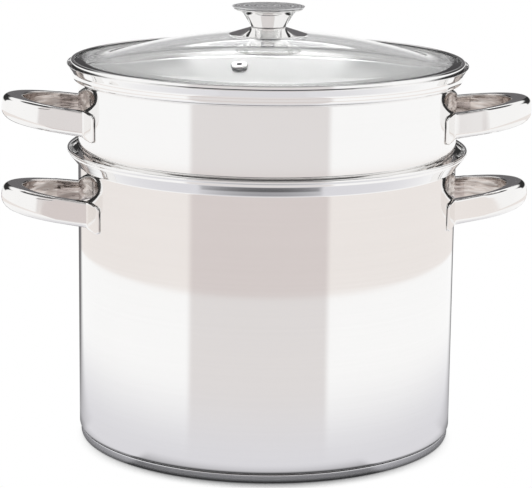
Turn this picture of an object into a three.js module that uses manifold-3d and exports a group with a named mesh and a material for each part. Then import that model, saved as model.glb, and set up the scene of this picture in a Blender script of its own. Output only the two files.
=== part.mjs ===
// Pasta pot: a tall stock pot, a strainer insert that hangs in its rim and a domed glass lid.
// Millimetres, +Z up. The base stands on z = 0 and the pot's two handles lie along X.

import * as THREE from 'three';
import { mergeGeometries, mergeVertices } from 'three/addons/utils/BufferGeometryUtils.js';
import Module from 'manifold-3d';

const wasm = await Module();
wasm.setup();

// Fits and roundness
const GAP = 0.3;                    // between pieces that are joined or that rest on each other
const SHELL_FACETS = 48;
const KNOB_FACETS = 24;
const BEND_STEP = 0.87;             // longest turn of one chord in a bend, radians
const DRILL_OVERRUN = 5;            // cutters reach past the sheet by this
const WELD = 1e-4;                  // points closer than this are one

// Pot
const POT_BORE_R = 120;             // a 24 cm pot
const POT_SHEET = 0.7;
const POT_RIM_Z = 188.9;
const POT_CORNER_R = 6;
const FLARE_HEIGHT = 5.6;           // cone at the foot of the pouring rim
const FLARE_WIDTH = 4.6;
const FLARE_THROAT_R = 1.5;         // bend from the wall into the cone
const COLLAR_HEIGHT = 4;            // steep collar over the cone
const COLLAR_WIDTH = 0.8;
const COLLAR_BEND_R = 1.5;
const RIM_LIP_HEIGHT = 1.2;         // lip turned out over the collar
const RIM_LIP_WIDTH = 1.8;
const RIM_BEAD_R = 0.9;             // rounded edge of the lip
const BEAD_STEPS = 6;

// Encapsulated base
const CAP_SHEET = 0.8;
const CAP_INSET = 1;                // the cap's side stands inside the pot's wall by this
const CAP_HEIGHT = 6.8;
const CAP_EDGE_R = 4;               // rounding of the standing edge
const CORE_THICKNESS = 4.7;
const CORE_MARGIN = 6;              // the core stops short of the pot's wall

// Strainer insert
const INSERT_SHEET = 0.7;
const SEAT_OVERLAP = 0.5;           // the insert's wall is wider than the pot's bore by this
const SHOULDER_R = 2.5;
const SHOULDER_STEP_Z = 3.4;
const BASKET_CLEARANCE = 3.6;       // between the basket and the pot's bore
const BASKET_FLOOR_Z = 34;
const BASKET_CORNER_R = 9;
const INSERT_RIM_RISE = 52.1;       // from the pot's rim edge to the insert's rim edge
const LEDGE_DEPTH = 10.2;           // step under the insert's rim edge that takes the lid
const LEDGE_WIDTH = 4.1;
const LEDGE_OUTER_R = 3.4;
const LIP_HEIGHT = 4.5;             // flared lip over the ledge
const LIP_WIDTH = 3.1;
const LIP_BEND_R = 3;

// Drain holes
const HOLE_R = 2.8;
const HOLE_SIDES = 6;
const HOLE_ROWS = 5;
const HOLE_COLUMNS = 24;
const HOLE_ROW_PITCH = 22;
const HOLE_FIRST_ROW_Z = 52;
const FLOOR_RINGS = 3;
const HOLES_PER_RING = 6;           // each floor ring has this many more than the one inside it
const FLOOR_PITCH = 26;

// Handles, all four alike
const POT_HANDLE_DROP = 30;         // from the rim's edge down to the handle's top at the wall
const INSERT_HANDLE_DROP = 26.1;
const HANDLE_RISE = 0.133;          // upward slope away from the wall
const GRIP_REACH = 47.8;            // outer top edge beyond the wall
const GRIP_HALF_WIDTH = 36.5;
const FINGER_REACH = 35;            // finger opening beyond the wall
const FINGER_HALF_WIDTH = 31;
const SOLE_EDGE = 2.9;              // slant along the lower edges
const LEG_HEIGHT = 16.2;
const TIP_HEIGHT = 16;
const FOOT_HALF_WIDTH = 53.5;
const FOOT_EDGE = 1.3;              // thickness left at the end of a foot
const FOOT_MARGIN = 1.7;            // feet reach this much above and below the legs
const LEG_END = 1.4;                // ellipse angle at which a leg turns into its foot, radians
const GRIP_STEPS = 7;
const FOOT_STEPS = 4;
const INSERT_TURN = -0.06;          // the insert is set down a little off the pot's handle line, radians

// Lid
const BAND_SHEET = 0.6;
const BAND_STAND = 2.5;             // band top above the insert's rim edge
const BAND_LIP = 2.4;               // width of the band's top over the glass
const BAND_LIP_R = 0.8;
const BAND_INSET = 2.5;             // band's outer face inside the insert's rim edge
const BAND_SKIRT_DEPTH = 7;         // band's foot below the insert's rim edge
const BAND_SHELF = 2.4;             // inward foot that the glass rests over
const SEAL_THICKNESS = 0.5;
const GLASS_THICKNESS = 3.2;
const DOME_FLAT = 15.4;             // width of the glass's flat edge
const DOME_RISE = 16.9;             // apex above the glass's flat edge
const DOME_EDGE_BEND_R = 40;
const DOME_STEPS = 7;
const VENT_RADIUS = 84.5;            // distance of the vent from the lid's axis
const VENT_BEARING = 4.411;         // direction of the vent about the lid's axis, radians from +X

// Vent eyelet
const VENT_BORE_R = 1.7;
const VENT_TUBE_R = 2.6;
const VENT_FLANGE_R = 5.1;
const VENT_FLANGE_THICKNESS = 1.3;
const VENT_ROLL_R = 4.4;

// Knob
const SKIRT_R = 25.2;
const SKIRT_EDGE = 0.5;
const SKIRT_HEIGHT = 4.8;
const SKIRT_SHEET = 0.8;
const WAIST_R = 11;
const KNOB_BODY_HEIGHT = 11;
const KNOB_CONE_R = 17;             // where the cone turns into the flare
const KNOB_FLARE_HEIGHT = 1.6;
const KNOB_FLARE_R = 5;
const KNOB_TOP_R = 22.2;
const KNOB_SHEET = 0.9;
const KNOB_CAP_R = 23;
const KNOB_CAP_THICKNESS = 0.8;
const BOSS_R = 5.5;
const BOSS_HEIGHT = 8.5;
const SCREW_R = 2.5;
const SCREW_REACH = 6;              // thread inside the boss
const SCREW_HEAD_R = 5;
const SCREW_HEAD_HEIGHT = 2.8;
const GASKET_R = 9.5;
const GASKET_THICKNESS = 1.2;
const WASHER_R = 8;
const WASHER_THICKNESS = 1;

// Sizes that follow from the ones above
const POT_R = POT_BORE_R + POT_SHEET;
const POT_FLOOR_Z = CAP_SHEET + CORE_THICKNESS;
const THROAT_Z = POT_RIM_Z - RIM_BEAD_R - RIM_LIP_HEIGHT - COLLAR_HEIGHT - FLARE_HEIGHT;
const INSERT_R = POT_BORE_R + SEAT_OVERLAP;
const BASKET_R = POT_BORE_R - BASKET_CLEARANCE;
const INSERT_RIM_Z = POT_RIM_Z + INSERT_RIM_RISE;
const INSERT_RIM_R = INSERT_R + LEDGE_WIDTH + LIP_WIDTH;
const BAND_R = INSERT_RIM_R - BAND_INSET;
const BAND_SKIRT_R = INSERT_RIM_R - LIP_WIDTH - INSERT_SHEET - GAP;
const BAND_TOP_Z = INSERT_RIM_Z + BAND_STAND;
const GLASS_EDGE_Z = BAND_TOP_Z - BAND_SHEET - GAP;
const GLASS_R = glassRadius();
const APEX_Z = GLASS_EDGE_Z + DOME_RISE;
const DOME_EDGE_R = GLASS_R - DOME_FLAT;
const DOME_R = (DOME_EDGE_R ** 2 + DOME_RISE ** 2) / (2 * DOME_RISE);
const SCREW_HOLE_R = SCREW_R + GAP;
const GASKET_Z = APEX_Z + GAP;
const SKIRT_Z = domeZ(SKIRT_R) + GAP;
const WAIST_Z = SKIRT_Z + SKIRT_HEIGHT;
const KNOB_BODY_Z = WAIST_Z + GAP;
const KNOB_CAP_Z = KNOB_BODY_Z + KNOB_BODY_HEIGHT + KNOB_SHEET + GAP;
const BOSS_Z = KNOB_BODY_Z + KNOB_SHEET;
const GASKET_LOWER_Z = APEX_Z - GLASS_THICKNESS - GAP - GASKET_THICKNESS;
const WASHER_Z = GASKET_LOWER_Z - WASHER_THICKNESS;

const STEEL = { color: 0xd4d2d0, roughness: 0.12, metalness: 1 };
const SATIN_STEEL = { color: 0xb9b9ba, roughness: 0.3, metalness: 1 };
const ALUMINIUM = { color: 0xc2c4c6, roughness: 0.45, metalness: 1 };
const SILICONE = { color: 0x2a2b2d, roughness: 0.7, metalness: 0 };
const GLASS = { color: 0xc9d2d6, roughness: 0.03, metalness: 0, transparent: true, opacity: 0.35 };

// Height of the glass dome's top face at a distance from the axis.
function domeZ(radius) {
  return APEX_Z - DOME_R + Math.sqrt(DOME_R ** 2 - radius ** 2);
}

// A line through corners [r, z, bend radius]; each bend is drawn with short chords.
function bentLine(corners) {
  const points = corners.map(([r, z]) => new THREE.Vector2(r, z));
  return corners.flatMap(([, , radius], i) => {
    if (!radius) return [points[i]];
    return bend(points[i - 1], points[i], points[i + 1], radius);
  });
}

function bend(before, corner, after, radius) {
  const back = before.clone().sub(corner).normalize();
  const ahead = after.clone().sub(corner).normalize();
  const half = back.angleTo(ahead) / 2;
  const middle = back.clone().add(ahead).normalize();
  const centre = corner.clone().addScaledVector(middle, radius / Math.sin(half));
  const start = corner.clone().addScaledVector(back, radius / Math.tan(half)).sub(centre);
  const turn = Math.sign(ahead.cross(back)) * (Math.PI - 2 * half);
  const steps = Math.ceil(Math.abs(turn) / BEND_STEP);
  return Array.from({ length: steps + 1 }, (_, i) =>
    start.clone().rotateAround(new THREE.Vector2(), (turn * i) / steps).add(centre));
}

// The same line moved left of its direction by a distance.
function moved(line, distance) {
  const last = line.length - 1;
  return line.map((point, i) => {
    const into = line[Math.max(i, 1)].clone().sub(line[Math.max(i - 1, 0)]).normalize();
    const out = line[Math.min(i + 1, last)].clone().sub(line[Math.min(i, last - 1)]).normalize();
    const along = into.clone().add(out).normalize();
    const left = new THREE.Vector2(-along.y, along.x);
    return point.clone().addScaledVector(left, distance / along.dot(into));
  });
}

// Outline of bent sheet: its skin line, and back along the same line moved by the thickness.
function sheet(skin, thickness) {
  return [...skin, ...moved(skin, thickness).reverse()];
}

// The same outline with a round bead round the skin's far end.
function beadedSheet(skin, thickness, beadR) {
  const back = moved(skin, thickness);
  const centre = skin.at(-1).clone().add(back.at(-1)).multiplyScalar(1 / 2);
  const ahead = skin.at(-1).clone().sub(skin.at(-2)).normalize();
  const reach = Math.PI - Math.asin(thickness / (2 * beadR));
  const bead = Array.from({ length: BEAD_STEPS + 1 }, (_, i) => {
    const turn = reach * ((2 * i) / BEAD_STEPS - 1);
    return ahead.clone().rotateAround(new THREE.Vector2(), turn).multiplyScalar(beadR).add(centre);
  });
  return [...skin.slice(0, -1), ...bead, ...back.slice(0, -1).reverse()];
}

// A solid of revolution about Z from an outline of [r, z] points.
function turned(outline, facets) {
  const profile = [...outline];
  const onAxis = profile[0].x === 0;
  if (!onAxis) profile.push(profile[0].clone());
  return new THREE.LatheGeometry(profile, facets).rotateX(Math.PI / 2);
}

function toSolid(geometry) {
  const bare = new THREE.BufferGeometry();
  bare.setAttribute('position', geometry.getAttribute('position'));
  bare.setIndex(geometry.getIndex());
  const welded = mergeVertices(bare, WELD);
  const index = Array.from(welded.getIndex().array);
  const corners = index.filter((_, i) => {
    const [a, b, c] = index.slice(i - (i % 3), i - (i % 3) + 3);
    return a !== b && b !== c && c !== a;
  });
  return new wasm.Manifold(new wasm.Mesh({
    numProp: 3,
    vertProperties: Float32Array.from(welded.getAttribute('position').array),
    triVerts: Uint32Array.from(corners),
  }));
}

function toGeometry(solid) {
  const { vertProperties, triVerts } = solid.getMesh();
  const geometry = new THREE.BufferGeometry();
  geometry.setAttribute('position', new THREE.BufferAttribute(vertProperties, 3));
  geometry.setIndex(new THREE.BufferAttribute(triVerts, 1));
  return geometry;
}

function cut(geometry, cutters) {
  return toGeometry(toSolid(geometry).subtract(toSolid(mergeGeometries(cutters))));
}

function named(name, geometry, finish) {
  const mesh = new THREE.Mesh(geometry, new THREE.MeshStandardMaterial(finish));
  mesh.name = name;
  return mesh;
}

// The pot's pouring rim as corners of its outer skin: cone, steep collar, lip.
function rimCorners() {
  const coneZ = THROAT_Z + FLARE_HEIGHT;
  const collarR = POT_R + FLARE_WIDTH + COLLAR_WIDTH;
  const collarZ = coneZ + COLLAR_HEIGHT;
  return [
    [POT_R, THROAT_Z, FLARE_THROAT_R],
    [POT_R + FLARE_WIDTH, coneZ, COLLAR_BEND_R],
    [collarR, collarZ],
    [collarR + RIM_LIP_WIDTH, collarZ + RIM_LIP_HEIGHT],
  ];
}

function potShell() {
  const skin = bentLine([
    [0, POT_FLOOR_Z],
    [POT_R, POT_FLOOR_Z, POT_CORNER_R],
    ...rimCorners(),
  ]);
  return turned(beadedSheet(skin, POT_SHEET, RIM_BEAD_R), SHELL_FACETS);
}

function baseCore() {
  const radius = POT_R - CORE_MARGIN;
  const top = CAP_SHEET + CORE_THICKNESS;
  const corners = [[0, CAP_SHEET], [radius, CAP_SHEET], [radius, top], [0, top]];
  return turned(bentLine(corners), SHELL_FACETS);
}

function baseCap() {
  const capR = POT_R - CAP_INSET;
  const skin = bentLine([
    [0, 0],
    [capR, 0, CAP_EDGE_R],
    [capR, CAP_HEIGHT],
  ]);
  return turned(sheet(skin, CAP_SHEET), SHELL_FACETS);
}

// Height of the insert's shoulder corner when its bend rests in the throat of the pot's rim.
function shoulderZ() {
  const slope = Math.atan2(FLARE_WIDTH, FLARE_HEIGHT);
  const throatCentreZ = THROAT_Z - FLARE_THROAT_R * Math.tan(slope / 2);
  const across = POT_R + FLARE_THROAT_R - (INSERT_R - SHOULDER_R);
  const apart = FLARE_THROAT_R + POT_SHEET + SHOULDER_R + GAP;
  const rise = Math.sqrt(apart ** 2 - across ** 2);
  const turn = Math.atan2(INSERT_R - BASKET_R, SHOULDER_STEP_Z);
  return throatCentreZ + rise - SHOULDER_R * Math.tan(turn / 2);
}

function insertSkin() {
  const ledgeZ = INSERT_RIM_Z - LEDGE_DEPTH;
  const ledgeR = INSERT_R + LEDGE_WIDTH;
  return bentLine([
    [0, BASKET_FLOOR_Z],
    [BASKET_R, BASKET_FLOOR_Z, BASKET_CORNER_R],
    [BASKET_R, shoulderZ() - SHOULDER_STEP_Z, SHOULDER_R],
    [INSERT_R, shoulderZ(), SHOULDER_R],
    [INSERT_R, ledgeZ],
    [ledgeR, ledgeZ, LEDGE_OUTER_R],
    [ledgeR, INSERT_RIM_Z - LIP_HEIGHT, LIP_BEND_R],
    [ledgeR + LIP_WIDTH, INSERT_RIM_Z],
  ]);
}

function holeCutter() {
  const length = 2 * (INSERT_SHEET + DRILL_OVERRUN);
  return new THREE.CylinderGeometry(HOLE_R, HOLE_R, length, HOLE_SIDES);
}

// Staggered rows of holes round the basket's wall, each in the middle of a facet.
function wallHoles() {
  const holes = [];
  const pitch = (2 * Math.PI) / HOLE_COLUMNS;
  for (let row = 0; row < HOLE_ROWS; row += 1) {
    const z = HOLE_FIRST_ROW_Z + row * HOLE_ROW_PITCH;
    const first = Math.PI / SHELL_FACETS + ((row % 2) * pitch) / 2;
    for (let column = 0; column < HOLE_COLUMNS; column += 1) {
      const hole = holeCutter().rotateZ(Math.PI / 2).translate(BASKET_R, 0, z);
      holes.push(hole.rotateZ(first + column * pitch));
    }
  }
  return holes;
}

// Rings of holes in the basket's floor.
function floorHoles() {
  const holes = [holeCutter().rotateX(Math.PI / 2).translate(0, 0, BASKET_FLOOR_Z)];
  for (let count = 1; count <= FLOOR_RINGS; count += 1) {
    const pitch = (2 * Math.PI) / (HOLES_PER_RING * count);
    for (let i = 0; i < HOLES_PER_RING * count; i += 1) {
      const hole = holeCutter().rotateX(Math.PI / 2).translate(count * FLOOR_PITCH, 0, BASKET_FLOOR_Z);
      holes.push(hole.rotateZ(i * pitch));
    }
  }
  return holes;
}

function insertShell() {
  const shell = turned(sheet(insertSkin(), INSERT_SHEET), SHELL_FACETS);
  return cut(shell, [...wallHoles(), ...floorHoles()]);
}

// Plan of half a handle from its tip to the end of one foot: inner and outer edge at each station.
function handlePlan(wallR) {
  const seatR = wallR + GAP;
  const stations = [];
  for (let i = 0; i <= GRIP_STEPS; i += 1) {
    const angle = (LEG_END * i) / GRIP_STEPS;
    stations.push({
      outer: ellipsePoint(wallR, GRIP_REACH, GRIP_HALF_WIDTH, angle),
      inner: ellipsePoint(wallR, FINGER_REACH, FINGER_HALF_WIDTH, angle),
      foot: 0,
      tip: Math.cos(angle),
    });
  }
  const leg = stations[GRIP_STEPS];
  const toe = onWall(seatR + FOOT_EDGE, FOOT_HALF_WIDTH);
  const heel = onWall(seatR, FINGER_HALF_WIDTH);
  const knee = new THREE.Vector2(heel.x + FOOT_EDGE, GRIP_HALF_WIDTH + FOOT_EDGE);
  const flare = new THREE.QuadraticBezierCurve(leg.outer, knee, toe);
  for (let i = 1; i <= FOOT_STEPS; i += 1) {
    const foot = i / FOOT_STEPS;
    const along = (i - 1) / (FOOT_STEPS - 1);
    const across = THREE.MathUtils.lerp(FINGER_HALF_WIDTH, FOOT_HALF_WIDTH, along);
    stations.push({ outer: flare.getPoint(foot), inner: onWall(seatR, across), foot, tip: 0 });
  }
  return stations;
}

function ellipsePoint(centreX, reach, halfWidth, angle) {
  return new THREE.Vector2(centreX + reach * Math.cos(angle), halfWidth * Math.sin(angle));
}

function onWall(radius, across) {
  return new THREE.Vector2(Math.sqrt(radius ** 2 - across ** 2), across);
}

// Cross-section of the handle at one station: flat top, slanted lower edges. Towards the tip it leans out,
// square to the rising top.
function handleSection({ outer, inner, foot, tip }, wallR) {
  const out = outer.clone().sub(inner).normalize();
  const width = outer.distanceTo(inner);
  const margin = FOOT_MARGIN * foot;
  const height = THREE.MathUtils.lerp(LEG_HEIGHT, TIP_HEIGHT, tip) + 2 * margin;
  const edge = Math.min(SOLE_EDGE, width / 3);
  const shape = [
    [0, 0],
    [width, 0],
    [width, height - edge],
    [width - edge, height],
    [edge, height],
    [0, height - edge],
  ];
  return shape.map(([across, drop]) => {
    const plan = inner.clone().addScaledVector(out, across);
    const top = HANDLE_RISE * (plan.x - wallR) + margin;
    return new THREE.Vector3(plan.x + HANDLE_RISE * tip * drop, plan.y, top - drop);
  });
}

function handle(wallR) {
  const half = handlePlan(wallR).map((station) => handleSection(station, wallR));
  const other = half.slice(1).map((section) => section.map(({ x, y, z }) => new THREE.Vector3(x, -y, z)));
  return loft([...other.reverse(), ...half]);
}

// A closed skin over a row of sections with equal numbers of points.
function loft(sections) {
  const count = sections[0].length;
  const last = sections.length - 1;
  const index = [];
  for (let s = 0; s < last; s += 1) {
    for (let i = 0; i < count; i += 1) {
      const a = s * count + i;
      const b = s * count + ((i + 1) % count);
      index.push(a, b, b + count, a, b + count, a + count);
    }
  }
  for (let i = 1; i < count - 1; i += 1) {
    index.push(0, i + 1, i);
    index.push(last * count, last * count + i, last * count + i + 1);
  }
  const geometry = new THREE.BufferGeometry().setFromPoints(sections.flat());
  geometry.setIndex(index);
  return geometry;
}

// A left and a right handle on a wall, with their tops at the wall on z.
function handlePair(name, wallR, z, turn) {
  const pair = new THREE.Group();
  ['right', 'left'].forEach((side, i) => {
    const mesh = named(`${name}_${side}`, handle(wallR), STEEL);
    mesh.position.z = z;
    mesh.rotation.z = turn + i * Math.PI;
    pair.add(mesh);
  });
  return pair;
}

// Cone and upright wall of the lid's band, which rests in the insert's flared lip.
function bandWall() {
  const lip = bentLine([
    [INSERT_RIM_R - LIP_WIDTH, INSERT_RIM_Z - LIP_HEIGHT],
    [INSERT_RIM_R, INSERT_RIM_Z],
  ]);
  const [foot] = moved(lip, INSERT_SHEET + GAP);
  const slope = LIP_HEIGHT / LIP_WIDTH;
  return [
    [BAND_SKIRT_R, foot.y + slope * (BAND_SKIRT_R - foot.x)],
    [BAND_R, foot.y + slope * (BAND_R - foot.x)],
  ];
}

function lidBand() {
  const footZ = INSERT_RIM_Z - BAND_SKIRT_DEPTH;
  const skin = bentLine([
    [BAND_SKIRT_R - BAND_SHELF, footZ],
    [BAND_SKIRT_R, footZ],
    ...bandWall(),
    [BAND_R, BAND_TOP_Z, BAND_LIP_R],
    [BAND_R - BAND_LIP, BAND_TOP_Z],
  ]);
  return turned(sheet(skin, BAND_SHEET), SHELL_FACETS);
}

// Bedding strip between the band and the edge of the glass.
function bandSeal() {
  const wall = bentLine([...bandWall(), [BAND_R, GLASS_EDGE_Z]]);
  return turned(sheet(moved(wall, BAND_SHEET + GAP), SEAL_THICKNESS), SHELL_FACETS);
}

// Radius at which the lower edge of the glass rests on the strip's cone.
function glassRadius() {
  const [low, high] = moved(bentLine(bandWall()), BAND_SHEET + SEAL_THICKNESS + 2 * GAP);
  const share = (GLASS_EDGE_Z - GLASS_THICKNESS - low.y) / (high.y - low.y);
  return low.x + share * (high.x - low.x);
}

function lidGlass() {
  const holeR = SCREW_R + 2 * GAP;
  const dome = Array.from({ length: DOME_STEPS }, (_, i) => {
    const radius = THREE.MathUtils.lerp(DOME_EDGE_R, holeR, (i + 1) / DOME_STEPS);
    return [radius, domeZ(radius)];
  });
  const skin = bentLine([
    [GLASS_R, GLASS_EDGE_Z],
    [DOME_EDGE_R, GLASS_EDGE_Z, DOME_EDGE_BEND_R],
    ...dome,
  ]);
  const drillR = VENT_TUBE_R + GAP;
  const drillLength = 2 * (GLASS_THICKNESS + DRILL_OVERRUN);
  const drill = new THREE.CylinderGeometry(drillR, drillR, drillLength, KNOB_FACETS).rotateX(Math.PI / 2);
  return cut(turned(sheet(skin, GLASS_THICKNESS), SHELL_FACETS), [drill.applyMatrix4(ventPlace())]);
}

// Place of the vent: on the dome's top face, square to it.
function ventPlace() {
  const lean = Math.asin(VENT_RADIUS / DOME_R);
  const place = new THREE.Matrix4().makeRotationZ(VENT_BEARING);
  place.multiply(new THREE.Matrix4().makeTranslation(VENT_RADIUS, 0, domeZ(VENT_RADIUS)));
  return place.multiply(new THREE.Matrix4().makeRotationY(lean));
}

function ventEyelet() {
  const top = GAP + VENT_FLANGE_THICKNESS;
  const under = -GLASS_THICKNESS - GAP;
  const outline = bentLine([
    [VENT_BORE_R, under - VENT_FLANGE_THICKNESS],
    [VENT_ROLL_R, under - VENT_FLANGE_THICKNESS, VENT_FLANGE_THICKNESS / 2],
    [VENT_ROLL_R, under],
    [VENT_TUBE_R, under],
    [VENT_TUBE_R, GAP],
    [VENT_FLANGE_R, GAP],
    [VENT_FLANGE_R, top, VENT_FLANGE_THICKNESS / 2],
    [VENT_BORE_R, top],
  ]);
  return turned(outline, KNOB_FACETS).applyMatrix4(ventPlace());
}

function knobSkirt() {
  const skin = bentLine([
    [SKIRT_R, SKIRT_Z],
    [SKIRT_R, SKIRT_Z + SKIRT_EDGE],
    [WAIST_R, WAIST_Z],
    [SCREW_HOLE_R, WAIST_Z],
  ]);
  return turned(sheet(skin, SKIRT_SHEET), KNOB_FACETS);
}

// Hollow cone that opens from the knob's waist and flares out under its top.
function knobBody() {
  const top = KNOB_BODY_Z + KNOB_BODY_HEIGHT;
  const skin = bentLine([
    [SCREW_HOLE_R, KNOB_BODY_Z],
    [WAIST_R, KNOB_BODY_Z],
    [KNOB_CONE_R, top - KNOB_FLARE_HEIGHT, KNOB_FLARE_R],
    [KNOB_TOP_R, top],
  ]);
  return turned(sheet(skin, KNOB_SHEET), KNOB_FACETS);
}

function knobCap() {
  const top = KNOB_CAP_Z + KNOB_CAP_THICKNESS;
  const outline = bentLine([
    [0, KNOB_CAP_Z],
    [KNOB_CAP_R, KNOB_CAP_Z],
    [KNOB_CAP_R, top],
    [0, top],
  ]);
  return turned(outline, KNOB_FACETS);
}

// Threaded boss in the knob, blind at its upper end.
function knobBoss() {
  const top = BOSS_Z + BOSS_HEIGHT;
  const drill = BOSS_Z + SCREW_REACH + GAP;
  const outline = bentLine([
    [0, drill],
    [SCREW_HOLE_R, drill],
    [SCREW_HOLE_R, BOSS_Z],
    [BOSS_R, BOSS_Z],
    [BOSS_R, top],
    [0, top],
  ]);
  return turned(outline, KNOB_FACETS);
}

// A flat ring round the knob's screw.
function screwRing(outerR, z, height) {
  const top = z + height;
  const corners = [[SCREW_HOLE_R, z], [outerR, z], [outerR, top], [SCREW_HOLE_R, top]];
  return turned(bentLine(corners), KNOB_FACETS);
}

function knobScrew() {
  const bottom = WASHER_Z - SCREW_HEAD_HEIGHT;
  const top = BOSS_Z + SCREW_REACH;
  const outline = bentLine([
    [0, bottom],
    [SCREW_HEAD_R, bottom, SCREW_HEAD_HEIGHT / 2],
    [SCREW_HEAD_R, WASHER_Z],
    [SCREW_R, WASHER_Z],
    [SCREW_R, top],
    [0, top],
  ]);
  return turned(outline, KNOB_FACETS);
}

function pot() {
  const body = new THREE.Group();
  body.add(named('pot_shell', potShell(), STEEL));
  body.add(named('base_core', baseCore(), ALUMINIUM));
  body.add(named('base_cap', baseCap(), SATIN_STEEL));
  body.add(handlePair('pot_handle', POT_R, POT_RIM_Z - POT_HANDLE_DROP, 0));
  return body;
}

function insert() {
  const body = new THREE.Group();
  body.add(named('insert_shell', insertShell(), STEEL));
  const handleZ = INSERT_RIM_Z - INSERT_HANDLE_DROP;
  body.add(handlePair('insert_handle', INSERT_R, handleZ, INSERT_TURN));
  return body;
}

function lid() {
  const body = new THREE.Group();
  body.add(named('lid_glass', lidGlass(), GLASS));
  body.add(named('lid_band', lidBand(), STEEL));
  body.add(named('band_seal', bandSeal(), SILICONE));
  body.add(named('vent_eyelet', ventEyelet(), STEEL));
  body.add(named('knob_gasket_upper', screwRing(GASKET_R, GASKET_Z, GASKET_THICKNESS), SILICONE));
  body.add(named('knob_gasket_lower', screwRing(GASKET_R, GASKET_LOWER_Z, GASKET_THICKNESS), SILICONE));
  body.add(named('screw_washer', screwRing(WASHER_R, WASHER_Z, WASHER_THICKNESS), SATIN_STEEL));
  body.add(named('knob_screw', knobScrew(), SATIN_STEEL));
  body.add(named('knob_skirt', knobSkirt(), STEEL));
  body.add(named('knob_body', knobBody(), STEEL));
  body.add(named('knob_boss', knobBoss(), SATIN_STEEL));
  body.add(named('knob_cap', knobCap(), SATIN_STEEL));
  return body;
}

const group = new THREE.Group();
group.name = 'pasta_pot';
group.add(pot(), insert(), lid());
export default group;
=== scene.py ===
"""Pasta pot: the finished look of a stock pot, its strainer insert and its domed glass lid."""

from collections import namedtuple
from math import asin, atan2, ceil, cos, hypot, pi, radians, sin, sqrt, tan

import bmesh
import bpy
from mathutils import Matrix, Vector
from mathutils.geometry import delaunay_2d_cdt


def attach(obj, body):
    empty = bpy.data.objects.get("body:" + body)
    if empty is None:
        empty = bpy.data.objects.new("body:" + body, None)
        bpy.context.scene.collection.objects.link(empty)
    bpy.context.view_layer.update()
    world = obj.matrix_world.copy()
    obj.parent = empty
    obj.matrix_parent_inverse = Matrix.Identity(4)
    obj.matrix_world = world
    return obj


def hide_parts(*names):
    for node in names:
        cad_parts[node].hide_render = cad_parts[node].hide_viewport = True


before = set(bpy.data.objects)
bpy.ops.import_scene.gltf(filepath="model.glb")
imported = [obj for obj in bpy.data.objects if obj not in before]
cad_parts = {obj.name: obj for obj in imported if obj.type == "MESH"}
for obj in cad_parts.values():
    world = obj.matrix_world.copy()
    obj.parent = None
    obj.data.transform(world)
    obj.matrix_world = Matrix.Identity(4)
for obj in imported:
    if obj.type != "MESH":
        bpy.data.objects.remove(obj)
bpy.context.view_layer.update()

# Sizes are in millimetres, as in the solids
MM = 0.001
GAP = 0.3                       # between pieces that are joined or that rest on each other
WELD = 1e-3                     # points closer than this are one
SHELL_SEGMENTS = 288
KNOB_SEGMENTS = 120
BEND_STEP = 0.13                # longest turn of one chord in a bend, radians
SUPPORT = 0.6                   # extra points this far from each corner keep long faces flat
EDGE_STEPS = 6                  # chords of a sheet's round edge
SHARP_ANGLE = radians(35)
INNER_FACING = 0.5              # a handle's face is an inner one, and gets painted shade, when it faces the loop's middle this much

# Pot
POT_BORE_R = 120
POT_SHEET = 0.7
POT_RIM_Z = 188.9
POT_CORNER_R = 2
THROAT_DROP = 11.7              # from the height of the rim down to the foot of its cone
FLARE_HEIGHT = 6.7              # cone at the foot of the pouring rim
FLARE_WIDTH = 5.4
FLARE_THROAT_R = 1.5
FLARE_HOLLOW = 0.15             # the cone is a little hollow: its foot starts this much lower
FLARE_MIDDLE_HEIGHT = 3.35      # and it turns outwards here
FLARE_MIDDLE_WIDTH = 2.66
FLARE_MIDDLE_R = 20
COLLAR_HEIGHT = 1.2
COLLAR_WIDTH = -0.12            # it leans in a little
COLLAR_BEND_R = 0.6
RIM_LIP_HEIGHT = 1.5
RIM_LIP_WIDTH = 1.2
RIM_LIP_BEND_R = 0.6
RIM_BEAD_R = 0.9
BEAD_STEPS = 20
CAP_SHEET = 0.8
CAP_INSET = 1
CAP_HEIGHT = 5.2
CAP_EDGE_R = 1.5
CORE_THICKNESS = 4.7

# Strainer insert
INSERT_SHEET = 0.7
SEAT_OVERLAP = 0.5
SHOULDER_R = 2.5
SHOULDER_STEP_Z = 3.4
BASKET_CLEARANCE = 3.6
BASKET_FLOOR_Z = 34
BASKET_CORNER_R = 9
INSERT_RIM_RISE = 52.1
LEDGE_DEPTH = 10.2              # step under the insert's rim edge that takes the lid
LEDGE_WIDTH = 4.1
LEDGE_INNER_R = 0.6
LEDGE_OUTER_R = 3.4
LIP_HEIGHT = 4.5
LIP_WIDTH = 3.1
LIP_BEND_R = 3

# Drain holes
HOLE_R = 2.8
WALL_ROWS = 9
WALL_COLUMNS = 48
WALL_PITCH_Z = 11
FIRST_ROW_Z = 52
CELL_HALF_ACROSS = SHELL_SEGMENTS // WALL_COLUMNS // 2
CELL_HALF_UP = 2                # vertical steps in half a cell
FLOOR_RINGS = 7
FLOOR_PITCH = 13
HOLES_PER_RING = 6              # each floor ring has this many more than the one inside it
FLOOR_HOLE_SIDES = 18

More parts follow.
